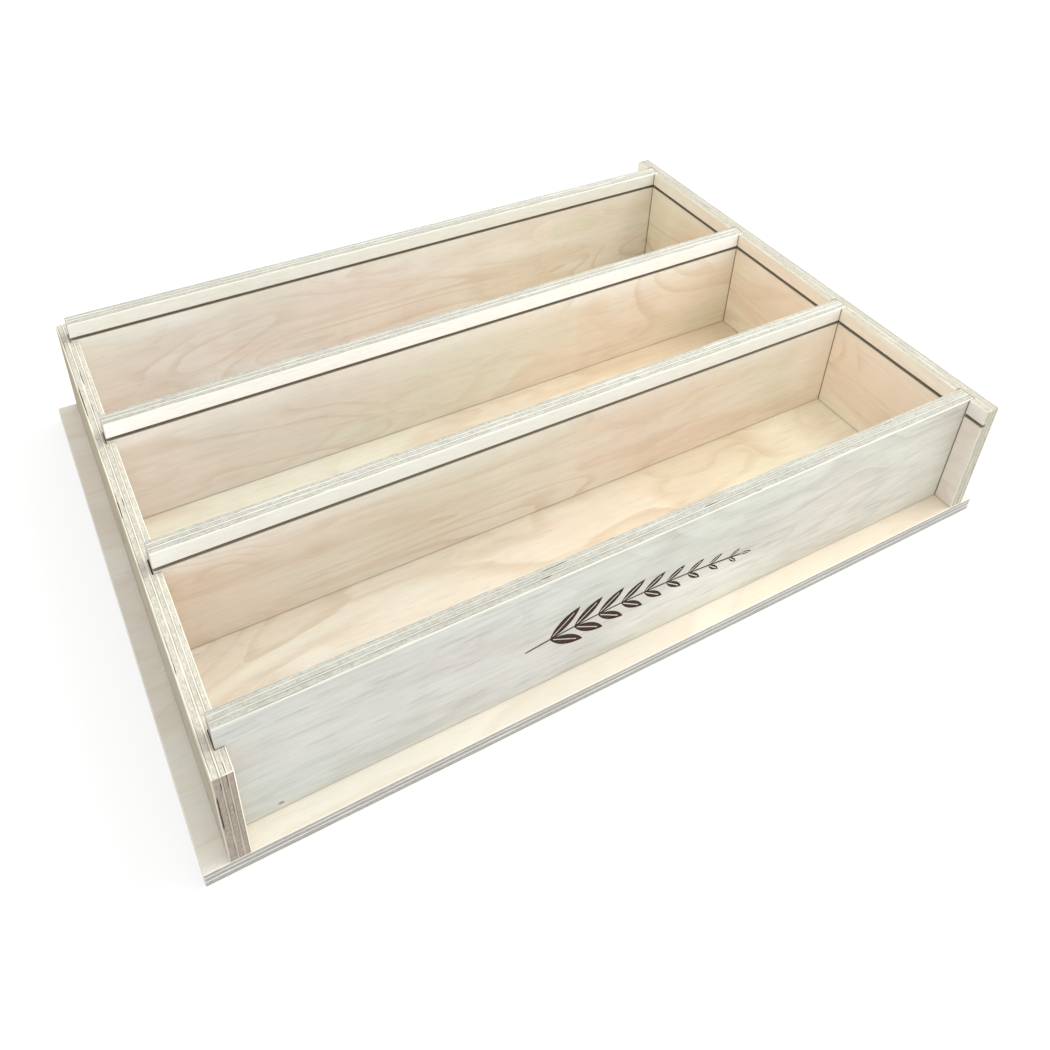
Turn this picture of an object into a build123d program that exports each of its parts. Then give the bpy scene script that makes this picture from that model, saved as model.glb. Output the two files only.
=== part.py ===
"""Three-loaf soap mould in birch plywood.

Two end boards stand on a base board and are screwed to it from below. Four long walls stand on the base with
their ends in upright dadoes of the end boards, and lift straight out to free the soap. Sliding lids would run
in the grooves near the top, and enter over the left end board, which is cut down to let them in.

Frame: origin at the centre of the underside, +X along the loaves towards the full-height end board, +Y to the
back, +Z up. Millimetres.
"""

from build123d import *
from math import radians, tan
import os

os.makedirs("parts", exist_ok=True)

# Stock and compartments
ply = 9.5
compartment_length = 422.0
compartment_width = 89.0
compartment_count = 3
wall_height = 74.0
eased_edge = 0.4

# How far the base and the end boards stand out past the walls
end_board_tail = 12.0
base_left_margin = 11.3
base_right_margin = 8.4

# Lid grooves
lid_strip = 9.2
lid_groove_height = 2.4
lid_groove_depth = 3.0
lid_entry_clearance = 0.8

# Dadoes that hold the walls' ends
dado_depth = 4.5
dado_side_clearance = 0.4
end_play = 0.9
left_end_gaps = (0.4, 0.7, 0.5, 0.4)

# Countersunk screws, up through the base into the end boards
screw_length = 30.0
screw_sink = 0.2
screw_head_radius = 3.5
screw_head_angle = 82.0
screw_shank_radius = 1.7
screw_core_radius = 1.15
screw_thread_radius = 1.75
screw_thread_pitch = 1.6
screw_thread_width = 0.7
screw_tip_length = 4.0
screw_inset = 46.0
screw_hole_radius = 1.9
countersink_radius = 3.8
recess_span = 3.8
recess_width = 0.75
recess_depth = 1.5
recess_taper = 10.0

# Burnt-in sprig on the front wall
sprig_length = 136.0
sprig_rise = 5.0
sprig_start_x = 139.0
sprig_height = 30.5
stem_width = 1.0
leaf_pairs = 9
first_leaf_length = 22.0
last_leaf_length = 8.0
leaf_slenderness = 0.30
leaf_spread = 36.0
leaf_rib_width = 0.55
leaf_rib_share = 0.7
leaf_rib_centre = 0.45
first_leaf_at = 0.10
last_leaf_at = 0.94
burn_depth = 0.3

# Derived sizes
wall_pitch = compartment_width + ply
walls_depth = compartment_count * wall_pitch + ply
board_depth = walls_depth + 2 * end_board_tail
base_length = base_left_margin + compartment_length + 2 * ply + base_right_margin
left_end_height = wall_height - lid_strip - lid_groove_height - lid_entry_clearance

# Derived places
base_top = ply
wall_top = base_top + wall_height
left_board_x = -base_length / 2 + base_left_margin
left_inner_x = left_board_x + ply
right_inner_x = left_inner_x + compartment_length
groove_top = wall_top - lid_strip
groove_bottom = groove_top - lid_groove_height
wall_length = compartment_length + 2 * dado_depth - end_play
wall_left_x = [left_inner_x - dado_depth + gap for gap in left_end_gaps]
wall_front_y = [-walls_depth / 2 + i * wall_pitch for i in range(compartment_count + 1)]
screw_y = [screw_inset * side - side * board_depth / 2 for side in (1, -1)] + [0.0]
low_corner = (Align.MIN, Align.MIN, Align.MIN)


def save(piece, name):
    """Labels a finished piece and writes it to its own STEP file."""
    piece.part.label = name
    export_step(piece.part, f"parts/{name}.step")


def board(x, y, z, length, depth, height):
    """A plain board with eased edges, from its low corner."""
    with BuildPart() as blank:
        with Locations((x, y, z)):
            Box(length, depth, height, align=low_corner)
        chamfer(blank.edges(), eased_edge)
    return blank


def end_board(inner_x, outward, height):
    """An end board with a dado for each wall and, if it is tall enough, the lid groove."""
    low_x = min(inner_x, inner_x + outward * ply)
    blank = board(low_x, -board_depth / 2, base_top, ply, board_depth, height)
    dado_width = ply + 2 * dado_side_clearance
    pilot_depth = screw_sink + screw_length - ply
    with BuildPart() as end:
        add(blank.part)
        with Locations([(inner_x, y + ply / 2, base_top + height / 2) for y in wall_front_y]):
            Box(2 * dado_depth, dado_width, height, mode=Mode.SUBTRACT)
        if base_top + height > groove_top:
            with Locations((inner_x, 0, (groove_top + groove_bottom) / 2)):
                Box(2 * lid_groove_depth, board_depth, lid_groove_height, mode=Mode.SUBTRACT)
        with BuildSketch(Plane.XY.offset(base_top)):
            with Locations([(inner_x + outward * ply / 2, y) for y in screw_y]):
                Circle(screw_core_radius)
        extrude(amount=pilot_depth, mode=Mode.SUBTRACT)
    return end


def long_wall(index, grooved_sides):
    """A wall that stands in the dadoes, with a lid groove on each face that looks into a compartment."""
    start_x, front_y = wall_left_x[index], wall_front_y[index]
    blank = board(start_x, front_y, base_top, wall_length, ply, wall_height)
    with BuildPart() as wall:
        add(blank.part)
        for side in grooved_sides:
            face_y = front_y + ply / 2 + side * ply / 2
            with Locations((start_x + wall_length / 2, face_y, (groove_top + groove_bottom) / 2)):
                Box(wall_length, 2 * lid_groove_depth, lid_groove_height, mode=Mode.SUBTRACT)
    return wall


def leaf(length):
    """A pointed leaf along +X with an unburnt midrib."""
    half_width = length * leaf_slenderness / 2
    with BuildSketch(mode=Mode.PRIVATE) as blade:
        with BuildLine():
            ThreePointArc((0, 0), (length / 2, half_width), (length, 0))
            ThreePointArc((length, 0), (length / 2, -half_width), (0, 0))
        make_face()
        with Locations((length * leaf_rib_centre, 0)):
            SlotOverall(length * leaf_rib_share, leaf_rib_width, mode=Mode.SUBTRACT)
    return blade.sketch


def sprig():
    """A curved stem along +X with leaves in pairs that shorten towards its tip, and one leaf at the tip."""
    with BuildLine(mode=Mode.PRIVATE) as spine:
        stem = ThreePointArc((0, 0), (sprig_length / 2, sprig_rise), (sprig_length - last_leaf_length, 0))
    with BuildSketch(mode=Mode.PRIVATE) as drawing:
        with BuildLine():
            offset(spine.line, amount=stem_width / 2)
        make_face()
        for i in range(leaf_pairs):
            share = i / (leaf_pairs - 1)
            length = first_leaf_length + (last_leaf_length - first_leaf_length) * share
            place = first_leaf_at + (last_leaf_at - first_leaf_at) * share
            root = stem @ place
            heading = stem.tangent_angle_at(place)
            for side in (1, -1):
                with Locations(Location((root.X, root.Y, 0), (0, 0, heading + side * leaf_spread))):
                    add(leaf(length))
        tip = stem @ 1
        with Locations(Location((tip.X, tip.Y, 0), (0, 0, stem.tangent_angle_at(1)))):
            add(leaf(last_leaf_length))
    return drawing.sketch


def screw_profile():
    """Half outline of a countersunk wood screw from the underside up, with its thread as ridges."""
    neck = (screw_head_radius - screw_shank_radius) / tan(radians(screw_head_angle / 2))
    thread_start = ply - screw_thread_pitch / 2
    thread_end = screw_length - screw_tip_length
    points = [(0, 0), (screw_head_radius, 0), (screw_shank_radius, neck), (screw_shank_radius, thread_start)]
    for i in range(int((thread_end - thread_start) / screw_thread_pitch) + 1):
        low = thread_start + i * screw_thread_pitch
        points += [(screw_core_radius, low), (screw_thread_radius, low + screw_thread_width / 2)]
        points.append((screw_core_radius, low + screw_thread_width))
    points += [(screw_core_radius, thread_end), (0, screw_length)]
    return points


def wood_screw():
    """One screw, point up, with a cross recess in its head."""
    with BuildPart() as screw:
        with BuildSketch(Plane.XZ):
            with BuildLine():
                Polyline(*screw_profile(), close=True)
            make_face()
        revolve(axis=Axis.Z)
        with BuildSketch(Plane.XY):
            Rectangle(recess_span, recess_width)
            Rectangle(recess_width, recess_span)
        extrude(amount=recess_depth, taper=recess_taper, mode=Mode.SUBTRACT)
    return screw


def screw_row(board_centre_x):
    """The screws that hold one end board, as separate solids."""
    screw = wood_screw()
    with BuildPart() as row:
        with Locations([(board_centre_x, y, screw_sink) for y in screw_y]):
            add(screw.part)
    return row


left_screw_x = left_inner_x - ply / 2
right_screw_x = right_inner_x + ply / 2

# Base board, with a countersunk hole for each screw
base_blank = board(-base_length / 2, -board_depth / 2, 0, base_length, board_depth, ply)
with BuildPart() as base_board:
    add(base_blank.part)
    underside = Plane.XY.rotated((180, 0, 0))
    hole_places = [(x, -y, 0) for x in (left_screw_x, right_screw_x) for y in screw_y]
    with Locations(*[underside * Location(place) for place in hole_places]):
        CounterSinkHole(screw_hole_radius, countersink_radius, depth=ply, counter_sink_angle=screw_head_angle)
save(base_board, "base_board")

save(end_board(left_inner_x, -1, left_end_height), "left_end_board")
save(end_board(right_inner_x, 1, wall_height), "right_end_board")

# Front wall, with the sprig burnt into its outer face
front_blank = long_wall(0, (1,))
with BuildPart() as front_wall:
    add(front_blank.part)
    front_face = Plane(origin=(left_inner_x + sprig_start_x, wall_front_y[0], base_top + sprig_height),
                       x_dir=(1, 0, 0), z_dir=(0, -1, 0))
    with BuildSketch(front_face):
        add(sprig())
    extrude(amount=-burn_depth, mode=Mode.SUBTRACT)
save(front_wall, "front_wall")

save(long_wall(1, (-1, 1)), "front_divider")
save(long_wall(2, (-1, 1)), "rear_divider")
save(long_wall(3, (-1,)), "back_wall")

save(screw_row(left_screw_x), "left_end_screws")
save(screw_row(right_screw_x), "right_end_screws")
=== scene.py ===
from math import radians

import bpy
from mathutils import Matrix, Vector


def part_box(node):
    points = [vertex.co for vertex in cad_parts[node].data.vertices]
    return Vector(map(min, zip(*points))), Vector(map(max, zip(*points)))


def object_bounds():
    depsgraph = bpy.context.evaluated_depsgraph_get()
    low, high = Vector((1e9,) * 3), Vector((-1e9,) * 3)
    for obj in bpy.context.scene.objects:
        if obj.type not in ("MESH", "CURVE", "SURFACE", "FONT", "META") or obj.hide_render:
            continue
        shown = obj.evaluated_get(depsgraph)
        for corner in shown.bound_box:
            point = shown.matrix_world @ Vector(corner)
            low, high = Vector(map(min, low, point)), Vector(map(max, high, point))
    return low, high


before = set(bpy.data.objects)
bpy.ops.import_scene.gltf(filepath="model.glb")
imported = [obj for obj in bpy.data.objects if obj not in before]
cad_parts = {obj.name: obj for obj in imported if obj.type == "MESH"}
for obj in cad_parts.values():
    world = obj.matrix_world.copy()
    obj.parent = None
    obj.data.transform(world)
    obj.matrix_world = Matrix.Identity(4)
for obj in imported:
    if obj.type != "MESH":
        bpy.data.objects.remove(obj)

# Soap loaf mould in birch plywood. Lengths are metres. Every board is a CAD node that keeps its own mesh.
# This script gives the boards their plywood and the screws their steel, and adds the floor, the lights and
# the camera.

cad_low, cad_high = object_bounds()
mm = 0.001
WHITE = (1.0, 1.0, 1.0)

# ---------------------------------------------------------------- shader arithmetic


def plug(tree, slot, value):
    """Feeds a node's input from a Field, a colour or a number."""
    if isinstance(value, Field):
        tree.links.new(value.socket, slot)
    elif isinstance(value, tuple) and len(value) == 3 and slot.type == "RGBA":
        slot.default_value = (*value, 1.0)
    else:
        slot.default_value = value


def is_colour(value):
    """Whether a value is a colour, or a Field of colours."""
    return isinstance(value, tuple) or (isinstance(value, Field) and value.socket.type != "VALUE")


class Field:
    """A value that varies over a surface: one output of a shader node, with arithmetic."""

    def __init__(self, tree, socket):
        self.tree, self.socket = tree, socket

    def maths(self, operation, *others):
        node = self.tree.nodes.new("ShaderNodeMath")
        node.operation = operation
        for slot, value in zip(node.inputs, (self, *others)):
            plug(self.tree, slot, value)
        return Field(self.tree, node.outputs["Value"])

    def __add__(self, other):
        return self.maths("ADD", other)

    def __sub__(self, other):
        return self.maths("SUBTRACT", other)

    def __mul__(self, other):
        return self.maths("MULTIPLY", other)

    def over(self, limit):
        """1 where the field is above the limit, else 0."""
        return self.maths("GREATER_THAN", limit)

    def larger(self, other):
        """The larger of the field and another value."""
        return self.maths("MAXIMUM", other)

    def inverse(self):
        """1 minus the field."""
        return self.maths("MULTIPLY_ADD", -1.0, 1.0)

    def rise(self, low, high):
        """0 below low, 1 above high, and a smooth step between."""
        node = self.tree.nodes.new("ShaderNodeMapRange")
        node.interpolation_type = "SMOOTHSTEP"
        for name, value in (("Value", self), ("From Min", low), ("From Max", high)):
            plug(self.tree, node.inputs[name], value)
        return Field(self.tree, node.outputs["Result"])

    def blend(self, start, end):
        """start where the field is 0, end where it is 1, for colours or numbers."""
        node = self.tree.nodes.new("ShaderNodeMix")
        in_colour = is_colour(start) or is_colour(end)
        node.data_type = "RGBA" if in_colour else "FLOAT"
        kind = "RGBA" if in_colour else "VALUE"
        plug(self.tree, node.inputs["Factor"], self)
        pair = [slot for slot in node.inputs if slot.type == kind and slot.name in "AB"]
        for slot, value in zip(pair, (start, end)):
            plug(self.tree, slot, value)
        return Field(self.tree, next(slot for slot in node.outputs if slot.type == kind))


def tinted(colour, share):
    """A colour times a number field or another colour field."""
    node = share.tree.nodes.new("ShaderNodeVectorMath")
    number = share.socket.type == "VALUE"
    node.operation = "SCALE" if number else "MULTIPLY"
    plug(share.tree, node.inputs[0], colour)
    plug(share.tree, node.inputs["Scale"] if number else node.inputs[1], share)
    return Field(share.tree, node.outputs["Vector"])


# ---------------------------------------------------------------- plywood

# Plies, measured through the board
FACE_PLY = 0.7 * mm
LONG_PLY = 0.9 * mm
CROSS_PLY = 2.1 * mm
PLY_SKEW = 0.30
PLY_WANDER = 0.3 * mm
GLUE_LINE = (0.06 * mm, 0.22 * mm)
GAP_HALF_WIDTH = 0.45 * mm

# Seams, grooves and joints
SEAM_HEIGHT = (0.4 * mm, 0.88 * mm)
CUT_DEPTH = (0.45 * mm, 1.3 * mm)
GROOVE_DEPTH = (0.05 * mm, 0.6 * mm)
JOINT_LEAD = 0.7 * mm
JOINT_FADES = ((0.0, 0.5 * mm), (0.9 * mm, 1.3 * mm))

# How squarely a surface faces along an axis to count as an end or a face, and how it turns into an eased edge
SQUARE_ON = 0.75
EASED_TURN = (0.72, 0.98)
FACE_TO_FACE = 7.3

# Growth rings: how ragged they are, where the latewood starts and peaks, and the dark rim of each patch
RAGGEDNESS = 0.12
LATE_START, LATE_PEAK = 0.55, 0.93
RING_IN_PATCH = 0.05
RIM_LEAD, RIM_TAIL = 0.045, 0.012

# How strongly each mark covers the colour under it, from 0 to 1
BLUSH_SHARE, MOSS_SHARE, STAIN_AND_LIGHT_SHARE, PIP_SHARE = 0.6, 0.5, 0.55, 0.75
GLUE_SHARE, SEAM_SHARE, CUT_SHARE, GROOVE_SHARE, JOINT_SHARE = 0.75, 0.75, 0.4, 0.85, 0.75
# FRONT_SHARE covers with painted light, LEFT_SHARE with a change of tone on the base and painted shade on the
# right end board
FRONT_SHARE, LEFT_SHARE, EASED_SHARE = 0.45, 0.40, 0.5
# FADE_SHARE and STRIP_SHARE set how far the lid strip's painted light covers
FADE_SHARE, STRIP_SHARE = 0.32, 0.48
STAIN_AND_LIGHT_RIM, PIP_RIM = (0.12, 0.62), (0.0, 0.5)

# Smaller settings: the curl's shade, the mottle of the lid strip's painted light, the plies' spread of shade,
# and the voids' soft edge
CURL_DEPTH = 0.03
STRIP_LIGHT_LOW, STRIP_LIGHT_HIGH = 0.94, 1.04
PLY_DARK, PLY_LIGHT = 0.85, 1.15
VOID_EDGE, VOID_ON_END = 0.03, 0.05
FADE_FROM = 0.74
POLISH_DEPTH = 0.14

# How far each mark stands up (or, below 0, lies down) in the relief
FACE_RELIEF = dict(streak=-0.25, pore=-0.75, late=0.2)
EDGE_RELIEF = dict(crossed=-0.35, speckle=0.5, glue=-0.8, gap=-3.0, fibre=0.25)

# Noise patterns: features per metre along and across the grain and through the plies, the detail, roughness
# and warp of the noise, an offset that keeps the patterns apart, and the levels between which a pattern rises.
PATTERNS = {
    "ragged": dict(along=26.0, across=340.0, offset=3.1),
    "faded": dict(along=9.0, across=30.0, detail=1.0, offset=4.4, levels=(0.36, 0.60)),
    "patches": dict(along=5.0, across=17.0, warp=0.8, offset=5.7),
    "moss": dict(along=7.0, across=12.0, offset=8.3, levels=(0.48, 0.66)),
    "blush": dict(along=8.0, across=14.0, offset=9.2, levels=(0.45, 0.68)),
    "streak": dict(along=40.0, across=480.0, detail=3.0, roughness=0.6, offset=12.4, levels=(0.28, 0.74)),
    "pore": dict(along=95.0, across=1900.0, detail=1.0, offset=17.9, levels=(0.63, 0.74)),
    "curl": dict(along=60.0, across=7.0, detail=1.0, offset=21.5, levels=(0.30, 0.70)),
    "fleck": dict(along=34.0, across=300.0, roughness=0.6, offset=25.7, levels=(0.56, 0.72)),
    "wander": dict(along=20.0, across=20.0, offset=31.0),
    "glue": dict(along=45.0, across=45.0, through=300.0, offset=37.0, levels=(0.28, 0.60)),
    "fibre": dict(along=60.0, across=60.0, through=2600.0, offset=41.0),
    "speckle": dict(along=560.0, across=560.0, through=900.0, detail=3.0, roughness=0.65, offset=43.0),
    "each_ply": dict(along=1.5, across=1.5, through=420.0, detail=0.0, offset=47.0),
    "gap": dict(along=42.0, across=42.0, through=560.0, detail=1.0, offset=53.0),
    "polish": dict(along=30.0, across=260.0, offset=61.0),
    "char": dict(along=300.0, across=900.0, offset=71.0, levels=(0.3, 0.7)),
    "bleach": dict(along=90.0, across=700.0, detail=3.0, roughness=0.6, offset=77.0, levels=(0.3, 0.75)),
}
SOFT_LEVELS = (0.25, 0.75)


class Board:
    """A board's coordinates from its low corner: along and across its face grain, and through its plies."""

    def __init__(self, node_name, material, grain, through, seed):
        self.tree = material.node_tree
        self.seed = seed
        low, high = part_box(node_name)
        across = next(axis for axis in "XYZ" if axis not in grain + through)
        axes = (grain, across, through)
        place = self.tree.nodes.new("ShaderNodeTexCoord")
        points, normals = [self.split(place.outputs[name]) for name in ("Object", "Normal")]
        self.size = [(high - low)["XYZ".index(a)] for a in axes]
        self.along, self.across, self.through = [points[a] - low["XYZ".index(a)] for a in axes]
        facing = [normals[a].maths("ABSOLUTE") for a in axes]
        self.on_end, self.on_face = facing[0].over(SQUARE_ON), facing[2].over(SQUARE_ON)
        self.eased = facing[0].larger(facing[1]).larger(facing[2]).rise(*EASED_TURN).inverse()
        self.side = self.through.over(self.size[2] / 2)

    def split(self, socket):
        node = self.tree.nodes.new("ShaderNodeSeparateXYZ")
        self.tree.links.new(socket, node.inputs[0])
        return {axis: Field(self.tree, node.outputs[axis]) for axis in "XYZ"}

    def noise(self, along, across, through=0.0, detail=2.0, roughness=0.5, warp=0.0, offset=0.0):
        """Noise with that many features per metre each way; the two faces of a board differ."""
        place = self.tree.nodes.new("ShaderNodeCombineXYZ")
        third = self.side * FACE_TO_FACE + (self.seed + offset)
        if through:
            third = third + self.through * through
        for slot, value in zip(place.inputs, (self.along * along, self.across * across, third)):
            plug(self.tree, slot, value)
        node = self.tree.nodes.new("ShaderNodeTexNoise")
        self.tree.links.new(place.outputs[0], node.inputs["Vector"])
        settings = (("Scale", 1.0), ("Detail", detail), ("Roughness", roughness), ("Distortion", warp))
        for name, value in settings:
            node.inputs[name].default_value = value
        return Field(self.tree, node.outputs["Fac"])

    def pattern(self, name):
        """One of the named patterns on this board, from 0 to 1."""
        settings = dict(PATTERNS[name])
        levels = settings.pop("levels", None)
        noise = self.noise(**settings)
        return noise.rise(*levels) if levels else noise

    def spot(self, along, across, half_length, half_width):
        """1 in the middle of an oval on the face, falling to 0 at its rim."""
        x = (self.along - along) * (1 / half_length)
        y = (self.across - across) * (1 / half_width)
        return (x * x + y * y).maths("SQRT").rise(0.0, 1.0).inverse()

    def depth(self):
        """How deep a point lies under the board's outer box."""
        nearest = None
        for place, size in zip((self.along, self.across, self.through), self.size):
            near = place.maths("MINIMUM", place * -1.0 + size)
            nearest = near if nearest is None else nearest.maths("MINIMUM", near)
        return nearest


def growth(board, look):
    """Where a point lies between two growth rings, from 0 to 1. Knots push the rings aside."""
    swell = board.noise(look["ring_length"], look["ring_width"], detail=1.5, warp=look["ring_warp"])
    for along, across, half_length, half_width, lift in look["knots"]:
        swell = swell + board.spot(along, across, half_length, half_width) * lift
    return (swell * look["rings"] + board.pattern("ragged") * RAGGEDNESS).maths("FRACT")


def veneer_colour(board, look, tone, late):
    """Cream and tan wood with pink and green patches, dark latewood lines, stained and pale patches of the
    wood, and paler patches of painted light.
    """
    colour = tone.blend(look["cream"], look["tan"])
    colour = (board.pattern("blush") * BLUSH_SHARE).blend(colour, look["blush"])
    colour = (board.pattern("moss") * MOSS_SHARE).blend(colour, look["moss"])
    colour = (late * look["ring_depth"]).blend(colour, look["latewood"])
    # Stained and pale patches of the wood, and paler patches of painted light
    for along, across, half_length, half_width, stain_and_light_colour in look["stains_and_lit_patches"]:
        mottle = board.spot(along, across, half_length, half_width).rise(*STAIN_AND_LIGHT_RIM)
        colour = (mottle * STAIN_AND_LIGHT_SHARE).blend(colour, stain_and_light_colour)
    return colour


def knot_pips(board, look, colour):
    """The dark hearts of the pin knots."""
    for along, across, half_length, half_width, _ in look["knots"]:
        pip = board.spot(along, across, half_length * look["pip"], half_width * look["pip"])
        colour = (pip.rise(*PIP_RIM) * PIP_SHARE).blend(colour, look["pip_colour"])
    return colour


def face_figure(board, look):
    """Colour and height of the sliced face veneer: growth rings, tone, streaks and pores, under a tint along
    the board that is partly tone and partly painted light and shade.
    """
    rings = growth(board, look)
    late = rings.rise(LATE_START, LATE_PEAK) * rings.rise(LATE_PEAK, 1.0).inverse() * board.pattern("faded")
    patches = board.pattern("patches") + rings * RING_IN_PATCH
    start, end = look["tone_edge"]
    rim = patches.rise(end - RIM_LEAD, end) * patches.rise(end, end + RIM_TAIL).inverse()
    late = late.larger(rim * look["rim_depth"])
    streak, pore = board.pattern("streak"), board.pattern("pore")
    shade = streak * -look["streak_depth"] + (1 + look["streak_depth"] / 2)
    shade = shade * (board.pattern("curl") * -CURL_DEPTH + (1 + CURL_DEPTH / 2))
    shade = shade * (pore * -look["pore_depth"] + 1.0)
    shade = shade * (board.pattern("fleck") * -look["fleck_depth"] + 1.0)
    colour = knot_pips(board, look, veneer_colour(board, look, patches.rise(start, end), late))
    # A tint from one end of the board to the other: partly the wood's own tone, partly painted light and shade
    tone_and_light_drift = (board.along * (1 / board.size[0])).rise(0.0, 1.0).blend(*look["tone_and_light_drift"])
    height = streak * FACE_RELIEF["streak"] + pore * FACE_RELIEF["pore"] + late * FACE_RELIEF["late"]
    return tinted(tinted(colour, shade), tone_and_light_drift), height


def ply_edges(board, look):
    """Colour and height of the cut edges: plies, glue lines and small core voids."""
    thickness, period = board.size[2], CROSS_PLY + LONG_PLY
    skewed = board.through - board.through * (board.through * -1.0 + thickness) * (PLY_SKEW / thickness)
    wander = board.pattern("wander") * PLY_WANDER - PLY_WANDER / 2
    cell = ((skewed + wander - FACE_PLY) * (1 / period)).maths("FRACT")
    crossed = cell.over(CROSS_PLY / period).inverse()
    to_ply_side = cell.maths("MINIMUM", cell.inverse())
    from_glue = to_ply_side.maths("MINIMUM", (cell - CROSS_PLY / period).maths("ABSOLUTE")) * period
    glue = from_glue.rise(*GLUE_LINE).inverse() * board.pattern("glue")
    fibres, speckle = board.pattern("fibre"), board.pattern("speckle")
    gap = board.pattern("gap") + board.on_end * VOID_ON_END
    gap = gap.rise(look["void_from"], look["void_from"] + VOID_EDGE)
    gap = gap * from_glue.rise(0.0, GAP_HALF_WIDTH).inverse() * board.eased.inverse()
    long_colour = fibres.rise(*SOFT_LEVELS).blend(look["edge_light"], look["edge_streak"])
    cross_colour = speckle.rise(*SOFT_LEVELS).blend(look["cross_light"], look["cross_dark"])
    shade = board.pattern("each_ply") * (PLY_LIGHT - PLY_DARK) + PLY_DARK
    colour = tinted(crossed.blend(long_colour, cross_colour), shade)
    colour = tinted(colour, board.on_end.blend(WHITE, look["end_tint"]))
    colour = gap.blend((glue * GLUE_SHARE).blend(colour, look["glue"]), look["void"])
    height = crossed * EDGE_RELIEF["crossed"] + speckle * crossed * EDGE_RELIEF["speckle"]
    height = height + glue * EDGE_RELIEF["glue"] + gap * EDGE_RELIEF["gap"] + fibres * EDGE_RELIEF["fibre"]
    return colour, height


def lid_strip(board, look, colour):
    """Painted light on the upper part of a face that carries a lid groove: the strip above the groove is
    painted paler, and the face below it is painted paler towards the groove.
    """
    bottom, top = look["groove_span"]
    strip_sides = {"low": board.side.inverse(), "high": board.side, "both": board.side.larger(1.0)}
    pale = board.across.rise(bottom * FADE_FROM, top) * FADE_SHARE + board.across.over(top) * STRIP_SHARE
    shade = board.pattern("bleach") * (STRIP_LIGHT_LOW - STRIP_LIGHT_HIGH) + STRIP_LIGHT_HIGH
    bleached = tinted(look["strip_light_colour"], shade)
    return (pale * strip_sides[look["strip"]] * look["strip_share"]).blend(colour, bleached)


def seams_and_grooves(board, look, colour):
    """The dark line along a board's foot, and the shade inside its grooves and dadoes."""
    bottom, top = look["groove_span"]
    foot = board.across.rise(*SEAM_HEIGHT).inverse()
    colour = (foot * SEAM_SHARE).blend(colour, look["seam"])
    in_groove = board.across.over(bottom) * board.across.over(top).inverse()
    depth = board.depth()
    cut = (depth.rise(*CUT_DEPTH) * CUT_SHARE).larger(depth.rise(*GROOVE_DEPTH) * in_groove * GROOVE_SHARE)
    return cut.blend(colour, look["groove"])


def end_joint(board, look, colour):
    """The dark line on a wall where it goes into the right end board's dado."""
    past = board.along - look["joint_from"]
    (starts, full), (fades, ends) = JOINT_FADES
    line = past.rise(starts, full) * past.rise(fades, ends).inverse()
    return (line * board.on_face * JOINT_SHARE).blend(colour, look["joint"])


def margins(board, look, colour):
    """Painted light on the part of a face in front of the walls, and another colour on the part at its left: a
    change of tone on the base, painted shade on the right end board's front tail.
    """
    front, left = look["margin"]
    beyond_front = board.across.over(front).inverse() * board.on_face
    colour = (beyond_front * FRONT_SHARE).blend(colour, look["margin_front_painted_light"])
    beyond_left = board.along.over(left).inverse() * board.on_face
    return (beyond_left * LEFT_SHARE).blend(colour, look["margin_left_tone_and_shade"])


def outer_face(board, look, colour):
    """Painted shade on the face that looks away from the loaves: a darker tint there, and half of it on that
    face's eased edges.
    """
    outer = board.side if look["outer_side"] == "high" else board.side.inverse()
    outer = outer * board.on_face.larger(board.eased * EASED_SHARE)
    return tinted(colour, outer.blend(WHITE, look["outer_shade_tint"]))


def burn_mark(board, region):
    """1 on the floor of the burnt lines, which lie just under the outer face, else 0."""
    start, end, bottom, top, depth = region
    inside = (board.along - start).over(0.0) * (board.along - end).over(0.0).inverse()
    inside = inside * (board.across - bottom).over(0.0) * (board.across - top).over(0.0).inverse()
    return inside * board.through.over(depth * 0.2) * (board.through - depth * 1.5).over(0.0).inverse()


def plywood(node_name, grain, through, seed, look):
    """The plywood of one board."""
    material = bpy.data.materials.new(f"birch_{node_name}")
    material.use_nodes = True
    tree = material.node_tree
    shader = tree.nodes["Principled BSDF"]
    board = Board(node_name, material, grain, through, seed)
    face_colour, face_height = face_figure(board, look)
    if "strip" in look:
        face_colour = lid_strip(board, look, face_colour)
    edge_colour, edge_height = ply_edges(board, look)
    colour = board.on_face.blend(edge_colour, face_colour)
    colour = (board.eased * EASED_SHARE).blend(colour, look["edge_light"])
    details = (("groove_span", seams_and_grooves), ("joint_from", end_joint), ("margin", margins),
               ("outer_side", outer_face))
    for key, add_detail in details:
        if key in look:
            colour = add_detail(board, look, colour)
    rough = board.pattern("polish") * POLISH_DEPTH + look["roughness"]
    if "burn" in look:
        burnt = burn_mark(board, look["burn"])
        charred = board.pattern("char").blend(look["char_dark"], look["char_brown"])
        colour = burnt.blend(colour, charred)
        rough = burnt.blend(rough, look["char_roughness"])
    plug(tree, shader.inputs["Base Color"], colour)
    plug(tree, shader.inputs["Roughness"], rough)
    shader.inputs["Specular IOR Level"].default_value = look["sheen"]
    bump = tree.nodes.new("ShaderNodeBump")
    bump.inputs["Strength"].default_value = look["relief"]
    bump.inputs["Distance"].default_value = look["relief_depth"]
    plug(tree, bump.inputs["Height"], board.on_face.blend(edge_height, face_height))
    tree.links.new(bump.outputs[0], shader.inputs["Normal"])
    return material


# ---------------------------------------------------------------- the boards' looks

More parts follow.
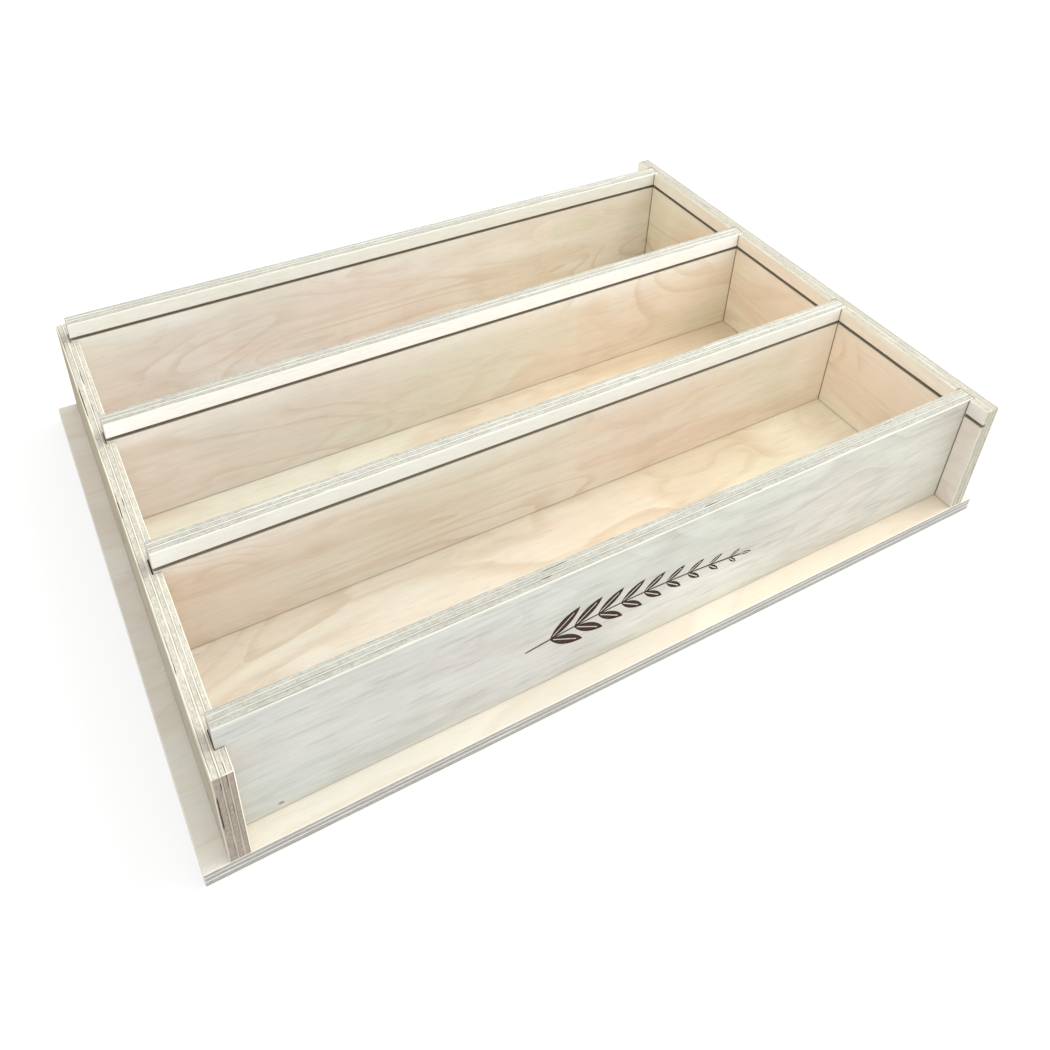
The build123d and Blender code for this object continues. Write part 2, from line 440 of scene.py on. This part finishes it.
# Marks on the faces: place along and across the board, half length, half width, then how far the growth
# rings are pushed, or a colour. The burn is a box instead: its start, end, bottom, top and depth.
PIN_KNOT = (21.6 * mm, 4.6 * mm, 5 * mm, 3.4 * mm, 0.35)
LOOP_RINGS = (356 * mm, 46 * mm, 42 * mm, 15 * mm, 0.5)
LOOP_STAIN = (356 * mm, 46 * mm, 40 * mm, 14 * mm, (0.72, 0.69, 0.50))
PALE_PATCH = (245 * mm, 14 * mm, 95 * mm, 26 * mm, (0.80, 0.80, 0.72))
# The next two ovals are painted light: paler patches on the base and on the front divider that light up the
# far right corner of the front compartment
PAINTED_LIGHT_CORNER = (440 * mm, 100 * mm, 95 * mm, 75 * mm, (1.14, 1.08, 0.94))
PAINTED_LIGHT_END = (430 * mm, 32 * mm, 70 * mm, 55 * mm, (0.96, 0.89, 0.76))
BURN = (138 * mm, 285 * mm, 8 * mm, 56 * mm, 0.3 * mm)

WARM = dict(
    cream=(0.83, 0.765, 0.645), tan=(0.775, 0.665, 0.53), blush=(0.84, 0.675, 0.56), moss=(0.75, 0.71, 0.56),
    latewood=(0.655, 0.49, 0.335), tone_edge=(0.44, 0.60), rim_depth=0.45,
    rings=10.0, ring_length=4.0, ring_width=15.0, ring_warp=1.1, ring_depth=0.44,
    streak_depth=0.06, fleck_depth=0.05, pore_depth=0.11, tone_and_light_drift=((1.0, 1.0, 1.04), (1.0, 0.985, 0.93)),
    knots=(), pip=0.42, pip_colour=(0.30, 0.18, 0.12), stains_and_lit_patches=(),
    edge_light=(0.78, 0.755, 0.665), edge_streak=(0.66, 0.63, 0.54),
    cross_light=(0.53, 0.535, 0.475), cross_dark=(0.35, 0.355, 0.31), end_tint=(0.70, 0.63, 0.62),
    glue=(0.15, 0.125, 0.095), void=(0.05, 0.035, 0.025), void_from=0.70,
    seam=(0.42, 0.26, 0.17), joint=(0.16, 0.12, 0.08), groove=(0.32, 0.265, 0.18),
    # The share and colour of the painted light on the strip above the lid groove
    strip_share=1.0, strip_light_colour=(0.86, 0.88, 0.84),
    char_dark=(0.022, 0.012, 0.009), char_brown=(0.075, 0.036, 0.024), char_roughness=0.85,
    roughness=0.58, sheen=0.25, relief=0.5, relief_depth=0.12 * mm,
)
FLOOR = dict(
    WARM, cream=(0.84, 0.76, 0.60), tan=(0.78, 0.675, 0.52), blush=(0.84, 0.67, 0.52),
    moss=(0.82, 0.76, 0.57), latewood=(0.64, 0.475, 0.30), tone_edge=(0.48, 0.54), rim_depth=0.6,
    rings=8.0, ring_length=4.2, ring_width=10.0, stains_and_lit_patches=(PAINTED_LIGHT_CORNER,),
    tone_and_light_drift=((0.89, 0.965, 1.07), (0.87, 0.855, 0.81)),
    # The base's front margin is painted paler, as painted light; its left margin changes tone only
    margin=(12.4 * mm, 12.0 * mm), margin_front_painted_light=(0.93, 0.87, 0.76), margin_left_tone_and_shade=(0.78, 0.75, 0.70),
    cross_light=(0.42, 0.42, 0.41), cross_dark=(0.29, 0.285, 0.28),
)
UPRIGHT = dict(WARM, groove_span=(62.3 * mm, 64.9 * mm))
# The left end board's outer face is darkened with painted shade, as are the outer faces of the right end board
# and the back wall
LEFT_END = dict(
    UPRIGHT, outer_side="low", outer_shade_tint=(0.52, 0.53, 0.50), sheen=0.0, void_from=0.655,
    edge_light=(0.84, 0.80, 0.69), edge_streak=(0.74, 0.69, 0.58),
    cross_light=(0.68, 0.655, 0.565), cross_dark=(0.47, 0.45, 0.385), end_tint=(0.60, 0.54, 0.53),
)
RIGHT_END = dict(
    UPRIGHT, strip="low", strip_share=0.22, outer_side="high", outer_shade_tint=(0.56, 0.55, 0.52),
    # The right end board is painted paler towards its front end, as painted light
    tone_and_light_drift=((1.15, 1.17, 1.18), (1.00, 1.00, 0.94)),
    # The right end board's front tail is darkened with painted shade
    margin=(0.0, 12.0 * mm), margin_front_painted_light=WHITE, margin_left_tone_and_shade=(0.42, 0.45, 0.49),
    edge_light=(0.66, 0.62, 0.52), edge_streak=(0.56, 0.52, 0.42),
    cross_light=(0.49, 0.48, 0.41), cross_dark=(0.35, 0.34, 0.28), end_tint=(1.0, 0.98, 0.96),
)

FRONT_WALL = dict(
    UPRIGHT, knots=(PIN_KNOT,), stains_and_lit_patches=(PALE_PATCH,), burn=BURN, strip="high",
    cream=(0.66, 0.68, 0.63), tan=(0.60, 0.60, 0.55), blush=(0.67, 0.635, 0.59), moss=(0.62, 0.66, 0.60),
    latewood=(0.44, 0.42, 0.37), ring_depth=0.34, streak_depth=0.12, fleck_depth=0.15, pore_depth=0.12,
    tone_and_light_drift=((0.85, 0.86, 0.87), (0.93, 0.91, 0.86)),
    edge_light=(0.66, 0.64, 0.57), edge_streak=(0.56, 0.54, 0.47), cross_light=(0.50, 0.50, 0.44),
)
FRONT_DIVIDER = dict(
    UPRIGHT, stains_and_lit_patches=(PAINTED_LIGHT_END,), strip="both", tone_and_light_drift=((0.97, 0.98, 1.025), (1.045, 1.03, 1.035)),
)
REAR_DIVIDER = dict(
    UPRIGHT, strip="both", strip_light_colour=(0.98, 1.0, 0.99), tone_and_light_drift=((0.93, 1.035, 1.20), (1.03, 1.055, 1.05)),
)
BACK_WALL = dict(
    UPRIGHT, knots=(LOOP_RINGS,), stains_and_lit_patches=(LOOP_STAIN,), pip=0.001,
    strip="low", strip_light_colour=(0.77, 0.79, 0.73), outer_side="high", outer_shade_tint=(0.84, 0.81, 0.74),
    tone_and_light_drift=((0.96, 1.06, 1.23), (1.0, 1.05, 1.09)),
)

# Each board's grain axis, axis through its plies, seed and look
BOARDS = {
    "base_board": ("X", "Z", 11.0, FLOOR),
    "left_end_board": ("Y", "X", 23.0, LEFT_END),
    "right_end_board": ("Y", "X", 37.0, RIGHT_END),
    "front_wall": ("X", "Y", 41.0, FRONT_WALL),
    "front_divider": ("X", "Y", 59.0, FRONT_DIVIDER),
    "rear_divider": ("X", "Y", 67.0, REAR_DIVIDER),
    "back_wall": ("X", "Y", 83.0, BACK_WALL),
}


def paint(node_name, material):
    """Puts one material on a CAD node."""
    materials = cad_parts[node_name].data.materials
    materials.clear()
    materials.append(material)


def dress_boards():
    """Gives every board its own sheet of plywood, and the walls a dark line where they meet the right end."""
    right_end_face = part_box("right_end_board")[0].x
    for name, (grain, through, seed, look) in BOARDS.items():
        if (grain, through) == ("X", "Y"):
            look = dict(look, joint_from=right_end_face - JOINT_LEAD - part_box(name)[0].x)
        paint(name, plywood(name, grain, through, seed, look))


STEEL_DARK, STEEL_LIGHT, STEEL_LEVELS = (0.55, 0.55, 0.53), (0.68, 0.68, 0.66), (0.3, 0.7)


def screw_steel():
    """Zinc-plated steel with fine turning marks."""
    material = bpy.data.materials.new("zinc_plated_steel")
    material.use_nodes = True
    tree = material.node_tree
    shader = tree.nodes["Principled BSDF"]
    place = tree.nodes.new("ShaderNodeTexCoord")
    noise = tree.nodes.new("ShaderNodeTexNoise")
    noise.inputs["Scale"].default_value = 1400.0
    tree.links.new(place.outputs["Object"], noise.inputs["Vector"])
    grain = Field(tree, noise.outputs["Fac"])
    plug(tree, shader.inputs["Base Color"], grain.rise(*STEEL_LEVELS).blend(STEEL_DARK, STEEL_LIGHT))
    plug(tree, shader.inputs["Roughness"], grain * 0.2 + 0.25)
    shader.inputs["Metallic"].default_value = 1.0
    return material


def dress_screws():
    steel = screw_steel()
    for name in ("left_end_screws", "right_end_screws"):
        paint(name, steel)


# ---------------------------------------------------------------- floor, lights and camera

SKY_LEFT, SKY_RIGHT, SKY_ZENITH = 1.35, 2.1, 1.15
KEY_POWER, KEY_SIZE, KEY_PLACE = 13.0, 1.0, (0.9, -0.1, 1.2)
KEY_COLOUR = (1.0, 0.985, 0.96)
FILL_POWER, FILL_SIZE, FILL_PLACE = 0.045, 0.3, (-0.65, -0.62, 0.95)
FILL_AIM, FILL_SPREAD = (0.18, -0.05, 0.04), 20.0
FLOOR_GLOW, FLOOR_GREY = 0.70, (0.30, 0.30, 0.30)
FLOOR_HALF, FLOOR_DROP = 12.0, 0.05 * mm


def make_floor():
    """A plain white floor just under the base, lit from within so that it stays pale around the object."""
    mesh = bpy.data.meshes.new("floor")
    corners = [(x * FLOOR_HALF, y * FLOOR_HALF) for x, y in ((-1, -1), (1, -1), (1, 1), (-1, 1))]
    mesh.from_pydata([(x, y, cad_low.z - FLOOR_DROP) for x, y in corners], [], [(0, 1, 2, 3)])
    floor = bpy.data.objects.new("floor", mesh)
    bpy.context.scene.collection.objects.link(floor)
    material = bpy.data.materials.new("studio_floor")
    material.use_nodes = True
    shader = material.node_tree.nodes["Principled BSDF"]
    shader.inputs["Base Color"].default_value = (*FLOOR_GREY, 1.0)
    shader.inputs["Roughness"].default_value = 0.9
    shader.inputs["Specular IOR Level"].default_value = 0.1
    shader.inputs["Emission Color"].default_value = (*WHITE, 1.0)
    shader.inputs["Emission Strength"].default_value = FLOOR_GLOW
    mesh.materials.append(material)


def make_sky():
    """A white room that is brightest overhead and dimmer on the left."""
    world = bpy.data.worlds.new("studio")
    world.use_nodes = True
    tree = world.node_tree
    place, split = tree.nodes.new("ShaderNodeTexCoord"), tree.nodes.new("ShaderNodeSeparateXYZ")
    tree.links.new(place.outputs["Generated"], split.inputs[0])
    right, up = Field(tree, split.outputs["X"]), Field(tree, split.outputs["Z"]).larger(0.0)
    side = right.rise(-0.6, 0.6).blend(SKY_LEFT, SKY_RIGHT)
    tree.nodes["Background"].inputs["Color"].default_value = (*WHITE, 1.0)
    plug(tree, tree.nodes["Background"].inputs["Strength"], up.inverse() * side + up * up * SKY_ZENITH)
    bpy.context.scene.world = world


def softbox(name, power, size, place, aim):
    """A square area light."""
    data = bpy.data.lights.new(name, "AREA")
    data.shape, data.size, data.energy = "SQUARE", size, power
    light = bpy.data.objects.new(name, data)
    light.location = place
    light.rotation_euler = (Vector(aim) - Vector(place)).to_track_quat("-Z", "Y").to_euler()
    bpy.context.scene.collection.objects.link(light)
    return data


def make_lights():
    """A softbox high on the right, and a weak, narrow one that opens up the far right of the compartments."""
    key = softbox("key", KEY_POWER, KEY_SIZE, KEY_PLACE, (0.0, 0.0, 0.0))
    key.color = KEY_COLOUR
    fill = softbox("fill", FILL_POWER, FILL_SIZE, FILL_PLACE, FILL_AIM)
    fill.spread = radians(FILL_SPREAD)


def make_camera():
    """The camera, at the front left and above, turned right and down."""
    eye = Vector((-0.2362, -0.4039, 0.4511))
    turn, tilt, roll = radians(30.0), radians(35.0), radians(1.74)
    data = bpy.data.cameras.new("camera")
    data.sensor_width, data.lens = 36.0, 35.4
    data.shift_x, data.shift_y = 0.0249, -0.2143
    data.clip_start, data.clip_end = 0.01, 100.0
    camera = bpy.data.objects.new("camera", data)
    heading = Matrix.Rotation(-turn, 4, "Z") @ Matrix.Rotation(radians(90) - tilt, 4, "X")
    camera.matrix_world = Matrix.Translation(eye) @ heading @ Matrix.Rotation(roll, 4, "Z")
    bpy.context.scene.collection.objects.link(camera)
    bpy.context.scene.camera = camera


bpy.context.scene.view_settings.view_transform = "Standard"
dress_boards()
dress_screws()
make_floor()
make_sky()
make_lights()
make_camera()
